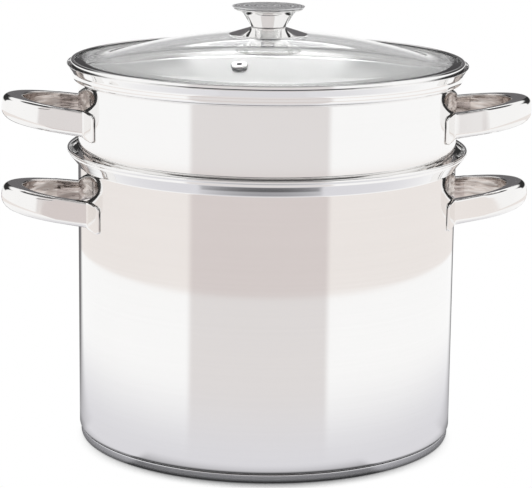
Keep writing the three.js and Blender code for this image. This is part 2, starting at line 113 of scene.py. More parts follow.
# Handles, all four alike
POT_HANDLE_DROP = 30            # from a rim edge down to the handle's top at the wall
INSERT_HANDLE_DROP = 26.1
HANDLE_RISE = 0.133             # upward slope away from the wall
GRIP_REACH = 47.8
GRIP_HALF_WIDTH = 36.5
FINGER_REACH = 35
FINGER_HALF_WIDTH = 31
LEG_HEIGHT = 16.2
TIP_HEIGHT = 16
FOOT_HALF_WIDTH = 53.5
FOOT_EDGE = 1.3
FOOT_MARGIN = 0.5               # feet reach this much above and below the legs
LEG_END = 1.2                   # ellipse angle at which a leg turns into its foot, radians
KNEE_ACROSS = 39.5              # a leg's outer face folds into its foot here
KNEE_R = 2.2
HEEL_SLIP = 4                   # how far the inner face moves along the wall under the fold
GRIP_STEPS = 44
LEG_STEPS = 8
KNEE_STEPS = 10
TAB_STEPS = 12
TOE_STEPS = 5
TAB_CORNER_R = 3                # rounding of a foot's end, seen from the side
TOP_INNER_R = 1.2
TOP_OUTER_R = 1                 # of the legs; the tip is rounder
TIP_TOP_R = 4.5
SOLE_OUTER_R = 4.5
TIP_SOLE_R = 8
SOLE_INNER_R = 3
ROUND_STEPS = 7
ROUND_SHARE = 0.42              # share of an edge that a rounding may use
TIP_ROUND_SHARE = 0.2           # and this much more at a handle's tip
SUPPORT_SHARE = 0.05
INSERT_TURN = -0.06             # the insert is set down a little off the pot's handle line, radians

# Lid
BAND_SHEET = 0.6
BAND_STAND = 2.5
BAND_LIP = 2.4
BAND_LIP_R = 0.8
BAND_INSET = 2.5
BAND_SKIRT_DEPTH = 7
BAND_SHELF = 2.4
SEAL_THICKNESS = 0.5
GLASS_THICKNESS = 3.2
DOME_FLAT = 15.4
DOME_RISE = 16.9
DOME_EDGE_BEND_R = 40
DOME_EDGE_STEPS = 10
DOME_STEPS = 40
VENT_RADIUS = 84.5
VENT_BEARING = 4.411
VENT_BORE_R = 1.7
VENT_TUBE_R = 2.6
VENT_FLANGE_R = 5.1
VENT_FLANGE_THICKNESS = 1.3
VENT_ROLL_R = 4.4
DRILL_OVERRUN = 5

# Knob
SKIRT_R = 25.2
SKIRT_EDGE = 0.5
SKIRT_HEIGHT = 4.8
SKIRT_SHEET = 0.5
WAIST_R = 11
WAIST_BEND_R = 1
KNOB_BODY_HEIGHT = 11
KNOB_CONE_R = 17
KNOB_FLARE_HEIGHT = 1.6
KNOB_FLARE_R = 5
KNOB_TOP_R = 22.2
KNOB_SHEET = 0.9
KNOB_CAP_R = 23
KNOB_CAP_THICKNESS = 0.8
BOSS_R = 5.5
BOSS_HEIGHT = 8.5
SCREW_R = 2.5
SCREW_REACH = 6
SCREW_HEAD_R = 5
SCREW_HEAD_HEIGHT = 2.8
SLOT_LENGTH = 6
SLOT_WIDTH = 1.2
SLOT_DEPTH = 1.4
GASKET_R = 9.5
GASKET_THICKNESS = 1.2
WASHER_R = 8
WASHER_THICKNESS = 1
EASED_EDGE_R = 0.3              # rounding of small turned and moulded edges

# Camera, in metres, and how often light may bounce
CAMERA_AZIMUTH = radians(5.6)   # the camera stands this far left of the front
CAMERA_DISTANCE = 1.414
CAMERA_HEIGHT = 0.428
CAMERA_PITCH = radians(12.18)
CAMERA_ROLL = radians(0.64)
CAMERA_LENS = 151.3
SENSOR_WIDTH = 36
LIGHT_BOUNCES = 24
MIRROR_BOUNCES = 12
GLASS_BOUNCES = 16

# The white room as polished metal mirrors it. A pair is the start and end of a soft edge, or of an area;
# widths and heights are parts of a direction of length 1
WHITE = (1, 1, 1, 1)
BLACK = (0, 0, 0, 1)
FRONT_GREY = (0.775, 0.745, 0.74, 1)
FRONT_BEARINGS = (radians(-46), radians(37.5))
FRONT_SOFT = radians(2.5)
FRONT_BAND = (0.02, 0.18)       # heights of a dark band in front
FRONT_BAND_SOFT = 0.02
FRONT_BAND_GREY = (0.07, 0.07, 0.072, 1)
BEHIND_START = (-0.2, -0.1)
BEHIND_HALF_WIDTH = (0.77, 0.83)
BEHIND_HEIGHTS = (0.06, 0.5)
BEHIND_SOFT = 0.06
BEHIND_MIDDLE = (0.17, 0.22)    # the middle of the area behind is less dark, up to here
BEHIND_MIDDLE_GREY = (0.15, 0.145, 0.15, 1)
BEHIND_GREY = (0.03, 0.03, 0.03, 1)
LAMP_HEIGHTS = (0.4, 0.72)      # soft lamp behind, which the glass mirrors
LAMP_SOFT = 0.04
LAMP_WIDTHS = (-0.12, 0.12)
LAMP_SIDE_SOFT = 0.02
LAMP_LIGHT = (2, 2, 2, 1)
CEILING_START = (0.76, 0.8)
CEILING_GREY = (0.08, 0.08, 0.082, 1)
SKYLIGHT_START = (0.78, 0.84)   # light overhead that falls in through the glass
SKYLIGHT = (4, 4, 4, 1)

# The table as polished metal mirrors it, in metres from the pot's axis
TABLE_R = 1.15
WARM_WHITE = (0.88, 0.835, 0.81, 1)
WARM_GREY = (0.7, 0.64, 0.628, 1)
WARM_START = (0.59, 0.61)
TABLE_FRONT_START = 0.065       # the grey area in front spreads from here
DIM_FADE = (0.14, 0.43)         # the table is dimmer near the pot
DIM_POWER = 2.0
DIM_GREY = (0.74, 0.735, 0.77, 1)
STRIP_LEFT_SPREAD = 0.45        # two dark strips behind widen by this much of their length
STRIP_RIGHT_SPREAD = 0.3
STRIP_OUTER_EDGE = (-0.17, -0.08)   # their outer edges start this far aside, below 0
STRIP_INNER_EDGE = (0.09, 0.13)
STRIP_LENGTHS = (-0.01, 1.1)
STRIP_END_SOFT = 0.01
STRIP_GREY = (0.16, 0.155, 0.16, 1)
BASE_SHADOW_BESIDE = (0.114, 0.14)
BASE_SHADOW_BEFORE = (0.114, 0.16)
BASE_SHADOW_LIGHT = 0.08        # share of the light that is left at the pot's sides
SHADOW_REACH = 0.024            # the shadow seen on the table
SHADOW_SAMPLES = 16
SHADOW_FADE = (0.15, 0.6)
SHADOW_GREY = (0.03, 0.03, 0.033, 1)

# Finishes: colours and roughness at the low and high ends of a texture, and its relief in metres
Finish = namedtuple("Finish", "dark light smooth rough relief", defaults=(0.0,))
POLISHED = Finish((0.91, 0.905, 0.9, 1), (0.955, 0.95, 0.945, 1), smooth=0.035, rough=0.075, relief=2e-8)
CAST_POLISHED = Finish((0.89, 0.88, 0.87, 1), (0.94, 0.93, 0.92, 1), smooth=0.05, rough=0.09, relief=4e-5)
# painted shade: the handles' inner faces, towards the wall, are much darker than their outer ones
CAST_DULL_PAINTED_SHADE = Finish((0.4, 0.36, 0.34, 1), (0.8, 0.75, 0.72, 1), smooth=0.07, rough=0.14, relief=4e-4)
# partly painted light: the satin insides are a lighter steel than the polished outside
GROUND_PAINTED_LIGHT = Finish((0.95, 0.95, 0.945, 1), (0.98, 0.98, 0.975, 1), smooth=0.55, rough=0.65, relief=1e-6)
TURNED = Finish((0.7, 0.7, 0.71, 1), (0.8, 0.8, 0.81, 1), smooth=0.18, rough=0.32, relief=1e-6)
PRESSED = Finish((0.7, 0.71, 0.72, 1), (0.8, 0.81, 0.82, 1), smooth=0.4, rough=0.55)
MOULDED_AND_PAINTED_SHADE = Finish((0.15, 0.15, 0.155, 1), (0.2, 0.2, 0.205, 1), smooth=0.55, rough=0.75, relief=2e-5)
CLEAR = Finish((0.985, 0.993, 0.995, 1), (0.995, 0.998, 1, 1), smooth=0.0, rough=0.012)
MOULDED_SHINE = 0.35
GLASS_IOR = 1.5

# Textures, as features per metre
POLISH_MARKS = 900.0
POLISH_HAZE = 22.0
MARKS_SHARE = 0.6               # of the marks in the mix of marks and haze
CASTING_WAVES = 45.0
CASTING_GRAIN = 600.0
INNER_STREAKS = 55.0
STREAK_SQUEEZE = (1, 1, 5)      # streaks are this much shorter upwards than along
STREAK_FADE = (0.35, 0.65)
INNER_GRAIN = 700.0
GROUND_MARKS = 1100.0
TURNED_MARKS = 1500.0
PRESSED_GRAIN = 900.0
MOULDED_GRAIN = 1400.0
GLASS_WAVES = 30.0
WAVE_DETAIL = 1.0
STREAK_DETAIL = 2.0
GRAIN_DETAIL = 3.0
TEXTURE_SPAN = (0.3, 0.7)       # nearly all of a texture's values lie in here


def bend(before, corner, after, radius, steps=None):
    """Points round a bend of a line at one corner."""
    back = (before - corner).normalized()
    ahead = (after - corner).normalized()
    half = back.angle(ahead) / 2
    centre = corner + (back + ahead).normalized() * (radius / sin(half))
    arm = corner + back * (radius / tan(half)) - centre
    turn = pi - 2 * half
    if ahead.cross(back) < 0:
        turn = -turn
    steps = steps or ceil(abs(turn) / BEND_STEP) + 1
    return [centre + Matrix.Rotation(turn * i / steps, 2) @ arm for i in range(steps + 1)]


def supports(line, arc):
    """Two points on the straight stretch between a line's end and the next arc."""
    if not line:
        return []
    stretch = arc[0] - line[-1]
    if stretch.length < 3 * SUPPORT:
        return []
    step = stretch.normalized() * SUPPORT
    return [line[-1] + step, arc[0] - step]


def bent_line(corners):
    """A line through corners (r, z) or (r, z, bend radius)."""
    points = [Vector(corner[:2]) for corner in corners]
    line = []
    for i, corner in enumerate(corners):
        arc = [points[i]]
        if len(corner) == 3:
            arc = bend(points[i - 1], points[i], points[i + 1], corner[2])
        line += supports(line, arc) + arc
    return line


def moved(line, distance):
    """The same line moved left of its direction."""
    last = len(line) - 1
    result = []
    for i, point in enumerate(line):
        start = max(i, 1)
        end = min(i + 1, last)
        into = (line[start] - line[start - 1]).normalized()
        out = (line[end] - line[end - 1]).normalized()
        along = (into + out).normalized()
        left = Vector((-along.y, along.x))
        result.append(point + left * (distance / along.dot(into)))
    return result


def drawn_in(line, distance):
    """A line that stops short of its end by a distance."""
    end = line[-1]
    kept = [point for point in line if (point - end).length > distance]
    return kept + [end + (kept[-1] - end).normalized() * distance]


def round_end(start, end):
    """Points of the half circle from one side of a sheet's edge to the other."""
    centre = (start + end) / 2
    arm = start - centre
    return [centre + Matrix.Rotation(pi * i / EDGE_STEPS, 2) @ arm for i in range(1, EDGE_STEPS)]


def sheet_edge(skin, thickness):
    """Outline of bent sheet with a round edge at its far end, open at its near end."""
    skin = drawn_in(skin, thickness / 2)
    back = moved(skin, thickness)
    return skin + round_end(skin[-1], back[-1]) + back[::-1]


def beaded_edge(skin, thickness, bead_r):
    """Outline of bent sheet with a round bead at its far end, open at its near end."""
    lap = asin(thickness / (2 * bead_r))
    centre = moved(skin, thickness / 2)[-1]
    line = drawn_in(skin, bead_r * cos(lap))
    back = moved(line, thickness)
    arm = (skin[-1] - skin[-2]).normalized() * bead_r
    turns = [(pi - lap) * (2 * i / BEAD_STEPS - 1) for i in range(1, BEAD_STEPS)]
    bead = [centre + Matrix.Rotation(turn, 2) @ arm for turn in turns]
    return line + bead + back[::-1]


def sheet(skin, thickness):
    """Closed outline of bent sheet with a round edge at both ends."""
    shortened = drawn_in(skin[::-1], thickness / 2)[::-1]
    outline = sheet_edge(shortened, thickness)
    return outline + round_end(outline[-1], outline[0])


def circle(radius, segments):
    """Points of a circle about the origin."""
    turns = [2 * pi * i / segments for i in range(segments)]
    return [(radius * cos(turn), radius * sin(turn)) for turn in turns]


def bridge(bm, first, second):
    """Faces between two closed rings of points."""
    for i in range(len(first)):
        bm.faces.new((first[i - 1], first[i], second[i], second[i - 1]))


def sweep(bm, outline, segments, closed=False):
    """Adds the surface that an outline of (r, z) points makes when it turns about Z."""
    rings = [[bm.verts.new((x, y, z)) for x, y in circle(r, segments)] for r, z in outline]
    if closed:
        rings.append(rings[0])
    for lower, upper in zip(rings, rings[1:]):
        bridge(bm, lower, upper)


def turned(outline, segments, closed=False):
    """A body of revolution about Z."""
    bm = bmesh.new()
    sweep(bm, outline, segments, closed)
    bmesh.ops.remove_doubles(bm, verts=bm.verts[:], dist=WELD)
    bmesh.ops.recalc_face_normals(bm, faces=bm.faces[:])
    return bm


def bare_object(bm):
    """An object made from a mesh under construction, which is used up."""
    mesh = bpy.data.meshes.new("bare")
    bm.to_mesh(mesh)
    bm.free()
    thing = bpy.data.objects.new("bare", mesh)
    bpy.context.scene.collection.objects.link(thing)
    return thing


def carved(bm, cutter):
    """A solid less the solid of a cutter."""
    body = bare_object(bm)
    tool = bare_object(cutter)
    carve = body.modifiers.new("carve", "BOOLEAN")
    carve.object = tool
    carve.operation = "DIFFERENCE"
    graph = bpy.context.evaluated_depsgraph_get()
    result = bmesh.new()
    result.from_mesh(body.evaluated_get(graph).to_mesh())
    for thing in (body, tool):
        mesh = thing.data
        bpy.data.objects.remove(thing)
        bpy.data.meshes.remove(mesh)
    return result


def dome_z(radius):
    """Height of the glass dome's top face at a distance from the axis."""
    return APEX_Z - DOME_R + sqrt(DOME_R ** 2 - radius ** 2)


def band_wall():
    """Cone and upright wall of the lid's band, which rests in the insert's flared lip."""
    lip = [
        Vector((INSERT_RIM_R - LIP_WIDTH, INSERT_RIM_Z - LIP_HEIGHT)),
        Vector((INSERT_RIM_R, INSERT_RIM_Z)),
    ]
    foot = moved(lip, INSERT_SHEET + GAP)[0]
    slope = LIP_HEIGHT / LIP_WIDTH
    return [(r, foot.y + slope * (r - foot.x)) for r in (BAND_SKIRT_R, BAND_R)]


def glass_radius():
    """Radius at which the lower edge of the glass rests on the bedding strip's cone."""
    cone = [Vector(corner) for corner in band_wall()]
    low, high = moved(cone, BAND_SHEET + SEAL_THICKNESS + 2 * GAP)
    share = (GLASS_EDGE_Z - GLASS_THICKNESS - low.y) / (high.y - low.y)
    return low.x + share * (high.x - low.x)


def shoulder_z():
    """Height of the insert's shoulder corner when its bend rests in the throat of the pot's flare."""
    slope = atan2(FLARE_WIDTH, FLARE_HEIGHT)
    throat_z = THROAT_Z - FLARE_THROAT_R * tan(slope / 2)
    across = POT_R + FLARE_THROAT_R - (INSERT_R - SHOULDER_R)
    apart = FLARE_THROAT_R + POT_SHEET + SHOULDER_R + GAP
    turn = atan2(INSERT_R - BASKET_R, SHOULDER_STEP_Z)
    return throat_z + sqrt(apart ** 2 - across ** 2) - SHOULDER_R * tan(turn / 2)


# Sizes that follow from the ones above
POT_R = POT_BORE_R + POT_SHEET
POT_FLOOR_Z = CAP_SHEET + CORE_THICKNESS
THROAT_Z = POT_RIM_Z - THROAT_DROP
INSERT_R = POT_BORE_R + SEAT_OVERLAP
BASKET_R = POT_BORE_R - BASKET_CLEARANCE
INSERT_RIM_Z = POT_RIM_Z + INSERT_RIM_RISE
INSERT_RIM_R = INSERT_R + LEDGE_WIDTH + LIP_WIDTH
PANEL_LOW_Z = FIRST_ROW_Z - WALL_PITCH_Z / 2
PANEL_HIGH_Z = PANEL_LOW_Z + WALL_ROWS * WALL_PITCH_Z
FLOOR_EDGE_R = FLOOR_PITCH * (FLOOR_RINGS + 1 / 2)
BAND_R = INSERT_RIM_R - BAND_INSET
BAND_SKIRT_R = INSERT_RIM_R - LIP_WIDTH - INSERT_SHEET - GAP
BAND_TOP_Z = INSERT_RIM_Z + BAND_STAND
GLASS_EDGE_Z = BAND_TOP_Z - BAND_SHEET - GAP
GLASS_R = glass_radius()
APEX_Z = GLASS_EDGE_Z + DOME_RISE
DOME_EDGE_R = GLASS_R - DOME_FLAT
DOME_R = (DOME_EDGE_R ** 2 + DOME_RISE ** 2) / (2 * DOME_RISE)
SCREW_HOLE_R = SCREW_R + GAP
GASKET_Z = APEX_Z + GAP
SKIRT_Z = dome_z(SKIRT_R) + GAP
WAIST_Z = SKIRT_Z + SKIRT_HEIGHT
KNOB_BODY_Z = WAIST_Z + GAP
KNOB_CAP_Z = KNOB_BODY_Z + KNOB_BODY_HEIGHT + KNOB_SHEET + GAP
BOSS_Z = KNOB_BODY_Z + KNOB_SHEET
GASKET_LOWER_Z = APEX_Z - GLASS_THICKNESS - GAP - GASKET_THICKNESS
WASHER_Z = GASKET_LOWER_Z - WASHER_THICKNESS

Station = namedtuple("Station", "inner outer foot tip trim")


def rim_corners():
    """Corners of the pot's pouring rim: a hollow cone, an upright collar and a lip."""
    collar_r = POT_R + FLARE_WIDTH + COLLAR_WIDTH
    collar_z = THROAT_Z + FLARE_HEIGHT + COLLAR_HEIGHT
    return [
        (POT_R, THROAT_Z - FLARE_HOLLOW, FLARE_THROAT_R),
        (POT_R + FLARE_MIDDLE_WIDTH, THROAT_Z + FLARE_MIDDLE_HEIGHT, FLARE_MIDDLE_R),
        (POT_R + FLARE_WIDTH, THROAT_Z + FLARE_HEIGHT, COLLAR_BEND_R),
        (collar_r, collar_z, RIM_LIP_BEND_R),
        (collar_r + RIM_LIP_WIDTH, collar_z + RIM_LIP_HEIGHT),
    ]


def pot_shell():
    """Drawn shell with a pouring rim that ends in a round bead."""
    skin = bent_line([(0, POT_FLOOR_Z), (POT_R, POT_FLOOR_Z, POT_CORNER_R), *rim_corners()])
    return turned(beaded_edge(skin, POT_SHEET, RIM_BEAD_R), SHELL_SEGMENTS)


def base_cap():
    """Cap that encloses the base's core."""
    cap_r = POT_R - CAP_INSET
    skin = bent_line([(0, 0), (cap_r, 0, CAP_EDGE_R), (cap_r, CAP_HEIGHT)])
    return turned(sheet_edge(skin, CAP_SHEET), SHELL_SEGMENTS)


def cell_border():
    """Points round one cell of the drilled wall, as (steps across, steps up)."""
    bottom = [(across, -CELL_HALF_UP) for across in range(-CELL_HALF_ACROSS, CELL_HALF_ACROSS)]
    right = [(CELL_HALF_ACROSS, up) for up in range(-CELL_HALF_UP, CELL_HALF_UP)]
    return bottom + right + [(-across, -up) for across, up in bottom + right]


def drilled_cell(bm, bearing, height):
    """One cell of the basket's wall with a hole through both of its skins."""
    turn_step = 2 * pi / SHELL_SEGMENTS
    rise_step = WALL_PITCH_Z / (2 * CELL_HALF_UP)

    def ring(radius, is_hole):
        points = []
        for across, up in cell_border():
            share = HOLE_R / hypot(across * turn_step * BASKET_R, up * rise_step) if is_hole else 1
            turn = bearing + across * turn_step * share
            rise = up * rise_step * share
            points.append(bm.verts.new((radius * cos(turn), radius * sin(turn), height + rise)))
        return points

    inner_r = BASKET_R - INSERT_SHEET
    rings = [ring(BASKET_R, False), ring(BASKET_R, True), ring(inner_r, True), ring(inner_r, False)]
    for first, second in zip(rings, rings[1:]):
        bridge(bm, first, second)


def drilled_wall(bm):
    """Staggered rows of holes round the basket's wall."""
    pitch = 2 * pi / WALL_COLUMNS
    for row in range(WALL_ROWS):
        first = pitch / 2 if row % 2 == 0 else 0
        for column in range(WALL_COLUMNS):
            drilled_cell(bm, first + column * pitch, FIRST_ROW_Z + row * WALL_PITCH_Z)


def floor_loops():
    """Outlines of the drilled floor: its edge, then each hole."""
    loops = [[Vector(point) for point in circle(FLOOR_EDGE_R, SHELL_SEGMENTS)]]
    for ring in range(FLOOR_RINGS + 1):
        for x, y in circle(ring * FLOOR_PITCH, max(1, HOLES_PER_RING * ring)):
            loops.append([Vector((x + u, y + v)) for u, v in circle(HOLE_R, FLOOR_HOLE_SIDES)])
    return loops


def drilled_floor(bm):
    """Rings of holes in the basket's floor."""
    loops = floor_loops()
    points = [point for loop in loops for point in loop]
    owner = [i for i, loop in enumerate(loops) for _ in loop]
    edges = []
    rows = []
    for loop in loops:
        start = len(edges)
        rows.append(range(start, start + len(loop)))
        edges += [(start + i, start + (i + 1) % len(loop)) for i in range(len(loop))]
    triangles = delaunay_2d_cdt(points, edges, [], 1, WELD)[2]
    layers = []
    for z in (BASKET_FLOOR_Z, BASKET_FLOOR_Z + INSERT_SHEET):
        layer = [bm.verts.new((x, y, z)) for x, y in points]
        layers.append(layer)
        for triangle in triangles:
            owners = {owner[i] for i in triangle}
            if len(owners) > 1 or owners == {0}:
                bm.faces.new([layer[i] for i in triangle])
    for row in rows[1:]:
        bridge(bm, *([layer[i] for i in row] for layer in layers))


def insert_shell():
    """Strainer with a perforated basket, a seat shoulder and a rim ledge for the lid."""
    ledge_z = INSERT_RIM_Z - LEDGE_DEPTH
    ledge_r = INSERT_R + LEDGE_WIDTH
    lower = bent_line([
        (FLOOR_EDGE_R, BASKET_FLOOR_Z),
        (BASKET_R, BASKET_FLOOR_Z, BASKET_CORNER_R),
        (BASKET_R, PANEL_LOW_Z),
    ])
    upper = bent_line([
        (BASKET_R, PANEL_HIGH_Z),
        (BASKET_R, shoulder_z() - SHOULDER_STEP_Z, SHOULDER_R),
        (INSERT_R, shoulder_z(), SHOULDER_R),
        (INSERT_R, ledge_z, LEDGE_INNER_R),
        (ledge_r, ledge_z, LEDGE_OUTER_R),
        (ledge_r, INSERT_RIM_Z - LIP_HEIGHT, LIP_BEND_R),
        (ledge_r + LIP_WIDTH, INSERT_RIM_Z),
    ])
    bm = turned(sheet_edge(upper, INSERT_SHEET), SHELL_SEGMENTS)
    sweep(bm, lower, SHELL_SEGMENTS)
    sweep(bm, moved(lower, INSERT_SHEET), SHELL_SEGMENTS)
    drilled_wall(bm)
    drilled_floor(bm)
    bmesh.ops.remove_doubles(bm, verts=bm.verts[:], dist=WELD)
    return bm


def ellipse_point(centre_x, reach, half_width, angle):
    """A point of an ellipse, in plan, whose middle lies on the X axis."""
    return Vector((centre_x + reach * cos(angle), half_width * sin(angle)))


def on_wall(radius, across):
    """The point of a round wall, in plan, at a distance across from the X axis."""
    return Vector((sqrt(radius ** 2 - across ** 2), across))


def tab_trim(across):
    """How much the round end of a foot takes off its top and bottom."""
    into_corner = max(0, TAB_CORNER_R - (FOOT_HALF_WIDTH - across))
    return TAB_CORNER_R - sqrt(TAB_CORNER_R ** 2 - into_corner ** 2)


def grip_stations(wall_r):
    """Stations of half a handle's loop, from its tip to the end of one leg."""
    stations = []
    for i in range(GRIP_STEPS + 1):
        angle = LEG_END * i / GRIP_STEPS
        inner = ellipse_point(wall_r, FINGER_REACH, FINGER_HALF_WIDTH, angle)
        outer = ellipse_point(wall_r, GRIP_REACH, GRIP_HALF_WIDTH, angle)
        stations.append(Station(inner, outer, 0, cos(angle), 0))
    return stations


def foot_stations(leg, wall_r):
    """Stations of one foot, from the end of its leg round the fold to its rounded toe."""
    seat_r = wall_r + GAP
    toe_across = FOOT_HALF_WIDTH - FOOT_EDGE
    heel = on_wall(seat_r, FINGER_HALF_WIDTH)
    knee = on_wall(seat_r + FOOT_EDGE, KNEE_ACROSS)
    toe = on_wall(seat_r + FOOT_EDGE, toe_across)
    fold = bend(leg.outer, knee, toe, KNEE_R, KNEE_STEPS)
    stations = []
    for i in range(1, LEG_STEPS):
        share = i / LEG_STEPS
        stations.append(Station(leg.inner.lerp(heel, share), leg.outer.lerp(fold[0], share), 0, 0, 0))
    for i, outer in enumerate(fold):
        share = i / KNEE_STEPS
        inner = on_wall(seat_r, FINGER_HALF_WIDTH + HEEL_SLIP * share)
        stations.append(Station(inner, outer, share, 0, 0))
    tab_across = FINGER_HALF_WIDTH + HEEL_SLIP
    for i in range(1, TAB_STEPS + 1):
        share = i / TAB_STEPS
        inner = on_wall(seat_r, tab_across + share * (toe_across - tab_across))
        outer = on_wall(seat_r + FOOT_EDGE, fold[-1].y + share * (toe_across - fold[-1].y))
        stations.append(Station(inner, outer, 1, 0, tab_trim(outer.y)))
    for i in range(1, TOE_STEPS):
        turn = pi / 2 * i / TOE_STEPS
        across = toe_across + FOOT_EDGE * sin(turn)
        inner = on_wall(seat_r, across)
        outer = on_wall(seat_r + FOOT_EDGE * cos(turn), across)
        stations.append(Station(inner, outer, 1, 0, tab_trim(across)))
    return stations


def rounded(corners, round_share):
    """Closed outline through corners (x, y, radius), with the same number of points for any size."""
    points = [Vector(corner[:2]) for corner in corners]
    outline = []
    for i, (_, _, radius) in enumerate(corners):
        before, corner, after = points[i - 1], points[i], points[(i + 1) % len(points)]
        reach = min((before - corner).length, (after - corner).length)
        half = (before - corner).angle(after - corner) / 2
        arc = bend(before, corner, after, min(radius, round_share * reach * tan(half)), ROUND_STEPS)
        step = min(SUPPORT, SUPPORT_SHARE * reach)
        first = arc[0] + (before - corner).normalized() * step
        last = arc[-1] + (after - corner).normalized() * step
        outline += [first, *arc, last]
    return outline


def handle_section(station, wall_r):
    """Cross-section of a handle at one station: flat top, straight sides, rounded sole."""
    inner, outer, foot, tip, trim = station
    out = (outer - inner).normalized()
    width = (outer - inner).length
    margin = FOOT_MARGIN * foot
    height = LEG_HEIGHT + (TIP_HEIGHT - LEG_HEIGHT) * tip + 2 * margin
    outline = rounded([
        (0, 0, TOP_INNER_R),
        (width, 0, TOP_OUTER_R + (TIP_TOP_R - TOP_OUTER_R) * tip),
        (width, height, SOLE_OUTER_R + (TIP_SOLE_R - SOLE_OUTER_R) * tip),
        (0, height, SOLE_INNER_R),
    ], ROUND_SHARE + TIP_ROUND_SHARE * tip)
    squeeze = 1 - 2 * trim / height
    section = []
    for across, drop in outline:
        plan = inner + out * across
        lean = HANDLE_RISE * tip * drop
        top = HANDLE_RISE * (plan.x - wall_r) + margin
        section.append((plan.x + lean, plan.y, top - height / 2 - (drop - height / 2) * squeeze))
    return section


def mirrored(station):
    """The station at the other side of a handle."""
    across = Vector((1, -1))
    return station._replace(inner=station.inner * across, outer=station.outer * across)


def handle(wall_r):
    """Loop handle on two welded feet, pointing along +X with its top at the wall on z = 0."""
    grip = grip_stations(wall_r)
    half = grip + foot_stations(grip[-1], wall_r)
    stations = [mirrored(station) for station in half[:0:-1]] + half
    bm = bmesh.new()
    rings = [[bm.verts.new(point) for point in handle_section(station, wall_r)] for station in stations]
    for first, second in zip(rings, rings[1:]):
        bridge(bm, first, second)
    bm.faces.new(rings[0])
    bm.faces.new(rings[-1])
    bmesh.ops.recalc_face_normals(bm, faces=bm.faces[:])
    for face in bm.faces:
        inwards = Vector((wall_r, 0, 0)) - face.calc_center_median()
        inwards.z = 0
        # faces towards the loop's middle take the darker cast steel as painted shade
        face.material_index = int(face.normal.dot(inwards.normalized()) > INNER_FACING)
    return bm


def lid_band():
    """Rolled band round the glass."""
    foot_z = INSERT_RIM_Z - BAND_SKIRT_DEPTH
    skin = bent_line([
        (BAND_SKIRT_R - BAND_SHELF, foot_z),
        (BAND_SKIRT_R, foot_z, BAND_LIP_R),
        *band_wall(),
        (BAND_R, BAND_TOP_Z, BAND_LIP_R),
        (BAND_R - BAND_LIP, BAND_TOP_Z),
    ])
    return turned(sheet(skin, BAND_SHEET), SHELL_SEGMENTS, closed=True)


def band_seal():
    """Bedding strip between the band and the edge of the glass."""
    wall = bent_line([*band_wall(), (BAND_R, GLASS_EDGE_Z)])
    skin = moved(wall, BAND_SHEET + GAP)
    return turned(sheet(skin, SEAL_THICKNESS), SHELL_SEGMENTS, closed=True)


def vent_place():
    """Place of the vent: on the dome's top face, square to it."""
    lean = Matrix.Rotation(asin(VENT_RADIUS / DOME_R), 4, "Y")
    spot = Matrix.Translation((VENT_RADIUS, 0, dome_z(VENT_RADIUS)))
    return Matrix.Rotation(VENT_BEARING, 4, "Z") @ spot @ lean


def glass_skin():
    """Top face of the glass from its edge inwards: flat, a bend, then the dome."""
    bend_r = sqrt((DOME_R + DOME_EDGE_BEND_R) ** 2 - (DOME_R + DOME_EDGE_BEND_R - DOME_RISE) ** 2)
    slope = asin(bend_r / (DOME_R + DOME_EDGE_BEND_R))
    skin = bent_line([(GLASS_R, GLASS_EDGE_Z), (bend_r + SUPPORT, GLASS_EDGE_Z)])
    for i in range(DOME_EDGE_STEPS):
        turn = slope * i / DOME_EDGE_STEPS
        rise = DOME_EDGE_BEND_R * (1 - cos(turn))
        skin.append(Vector((bend_r - DOME_EDGE_BEND_R * sin(turn), GLASS_EDGE_Z + rise)))
    hole_r = SCREW_R + 2 * GAP
    dome_r = DOME_R * sin(slope)
    for i in range(DOME_STEPS + 1):
        radius = dome_r + (hole_r - dome_r) * i / DOME_STEPS
        skin.append(Vector((radius, dome_z(radius))))
    return skin


def lid_glass():
    """Glass dome with a flat edge and a hole each for the knob's screw and the vent."""
    skin = glass_skin()
    bm = turned(sheet(skin, GLASS_THICKNESS), SHELL_SEGMENTS, closed=True)
    drill_r = VENT_TUBE_R + GAP
    reach = GLASS_THICKNESS + DRILL_OVERRUN
    drill = turned(bent_line([(0, -reach), (drill_r, -reach), (drill_r, reach), (0, reach)]), KNOB_SEGMENTS)
    drill.transform(vent_place())
    return carved(bm, drill)


def vent_eyelet():
    """Eyelet that lets steam out through the glass; its bore and the underside of its flange take the dark
    silicone as painted shade.
    """
    top = GAP + VENT_FLANGE_THICKNESS
    under = -GLASS_THICKNESS - GAP
    roll = VENT_FLANGE_THICKNESS / 2
    outline = bent_line([
        (VENT_BORE_R, under - VENT_FLANGE_THICKNESS, EASED_EDGE_R),
        (VENT_ROLL_R, under - VENT_FLANGE_THICKNESS, roll),
        (VENT_ROLL_R, under),
        (VENT_TUBE_R, under),
        (VENT_TUBE_R, GAP),
        (VENT_FLANGE_R, GAP),
        (VENT_FLANGE_R, top, roll),
        (VENT_BORE_R, top, EASED_EDGE_R),
        (VENT_BORE_R, 0),
    ])
    bm = turned(outline, KNOB_SEGMENTS, closed=True)
    # painted shade: the bore and the faces under the flange's middle get the dark silicone
    for face in bm.faces:
        centre = face.calc_center_median()
        in_bore = centre.xy.length < VENT_BORE_R + EASED_EDGE_R
        face.material_index = int(in_bore or centre.z < GAP + roll)
    bm.transform(vent_place())
    return bm


def knob_skirt():
    """Cone under the knob."""
    skin = bent_line([
        (SKIRT_R, SKIRT_Z + SKIRT_EDGE),
        (WAIST_R, WAIST_Z),
        (SCREW_HOLE_R, WAIST_Z),
    ])
    return turned(sheet(skin, SKIRT_SHEET), KNOB_SEGMENTS, closed=True)


